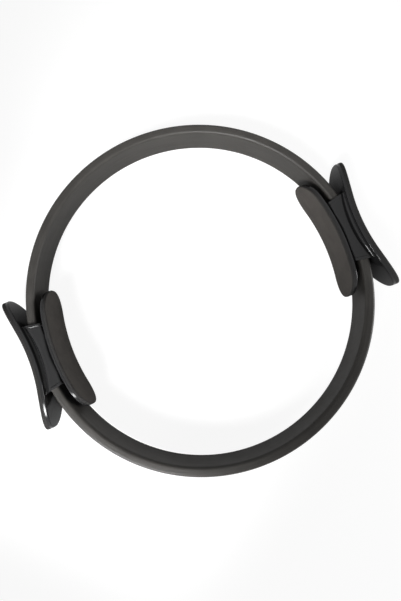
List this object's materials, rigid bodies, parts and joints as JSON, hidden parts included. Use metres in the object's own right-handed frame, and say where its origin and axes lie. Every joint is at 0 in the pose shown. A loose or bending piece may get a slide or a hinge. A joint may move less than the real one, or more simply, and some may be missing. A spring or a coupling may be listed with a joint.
{
  "type": "pilates ring",
  "caption": "Flat foam-covered spring hoop with two opposite moulded handles, each padded inside and outside, squeezed between hands or legs as resistance.",
  "frame": {"origin": "centre of the hoop, at the middle of its thickness", "axes": "+X through the right handle, +Z along the hoop's axis, up as the ring lies flat"},
  "size_m": [0.3956, 0.3628, 0.048],
  "materials": {
    "hoop_foam": "satin closed-cell foam",
    "grip_pad": "matt foam",
    "gloss_shell": "gloss black moulding",
    "fibreglass": "pultruded strip",
    "steel": "zinc plated"
  },
  "bodies": {
    "hoop": {"outer_spring_strip": "fibreglass", "inner_spring_strip": "fibreglass", "upper_foam_sleeve": "hoop_foam", "lower_foam_sleeve": "hoop_foam"},
    "right_handle": {"right_outer_shell": "gloss_shell", "right_inner_shell": "gloss_shell", "right_outer_pad": "grip_pad", "right_inner_pad": "grip_pad", "right_clamp_plate": "steel", "right_clamp_screws": "steel", "right_clamp_nuts": "steel"},
    "left_handle": {"left_outer_shell": "gloss_shell", "left_inner_shell": "gloss_shell", "left_outer_pad": "grip_pad", "left_inner_pad": "grip_pad", "left_clamp_plate": "steel", "left_clamp_screws": "steel", "left_clamp_nuts": "steel"}
  },
  "joints": [
    {"name": "right_squeeze", "type": "slide", "parent": "hoop", "child": "right_handle", "axis": [-1, 0, 0], "range_m": [0, 0.05], "stiffness_N_per_m": 3000, "deforming": ["outer_spring_strip", "inner_spring_strip", "upper_foam_sleeve", "lower_foam_sleeve"]},
    {"name": "left_squeeze", "type": "slide", "parent": "hoop", "child": "left_handle", "axis": [1, 0, 0], "range_m": [0, 0.05], "stiffness_N_per_m": 3000}
  ],
  "couplings": [
    {"joint": "left_squeeze", "follows": "right_squeeze", "ratio": 1}
  ]
}
